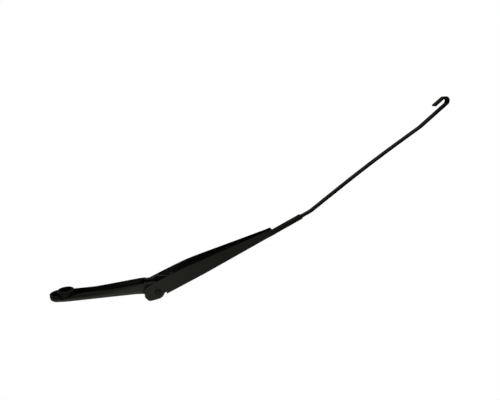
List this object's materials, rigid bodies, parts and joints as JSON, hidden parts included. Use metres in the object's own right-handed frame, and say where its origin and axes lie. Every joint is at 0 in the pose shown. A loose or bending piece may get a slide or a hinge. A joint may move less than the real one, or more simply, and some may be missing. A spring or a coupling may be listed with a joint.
{
  "type": "windscreen wiper arm",
  "caption": "Windscreen wiper arm: cast head with a toothed spindle socket, sprung tapered channel folded round a flat bar, and a J-hook for the blade.",
  "frame": {"origin": "centre of the spindle socket's mouth, on the head's glass side", "axes": "+Z along the spindle, out of the glass towards the nut; +X along the arm towards the blade hook; Y is the hinge axis"},
  "size_m": [0.6637, 0.0318, 0.3183],
  "materials": {
    "cast_paint": "satin black paint on a die casting",
    "sheet_paint": "satin black paint on stamped steel",
    "bar_paint": "satin black paint on flat bar",
    "bush_plastic": "matt",
    "bare_steel": "dull zinc",
    "spring_coat": "dark phosphate coat"
  },
  "bodies": {
    "head": {"mounting_head": "cast_paint", "hinge_bush_left": "bush_plastic", "hinge_bush_right": "bush_plastic", "link_pin": "bare_steel"},
    "arm": {"channel": "sheet_paint", "arm_rod": "bar_paint", "hinge_rivet": "sheet_paint"},
    "link": {"spring_link": "bare_steel"},
    "spring": {"tension_spring": "spring_coat"}
  },
  "joints": [
    {"name": "arm_lift", "type": "hinge", "parent": "head", "child": "arm", "pos_m": [0.1338, 0, 0.0129], "axis": [0, -1, 0], "range_deg": [0, 80], "stiffness_Nm_per_rad": 0.6, "springref_deg": -85.94},
    {"name": "link_swing", "type": "hinge", "parent": "head", "child": "link", "pos_m": [0.1266, 0, 0.00596], "axis": [0, -1, 0], "range_deg": [0, 76]},
    {"name": "spring_stretch", "type": "slide", "parent": "link", "child": "spring", "axis": [0.9359, 0, -0.3523], "range_m": [0, 0.006], "deforming": ["tension_spring"]}
  ],
  "couplings": [
    {"joint": "link_swing", "follows": "arm_lift", "ratio": 0.94747},
    {"joint": "spring_stretch", "follows": "arm_lift", "m_per_rad": 0.0041319}
  ]
}
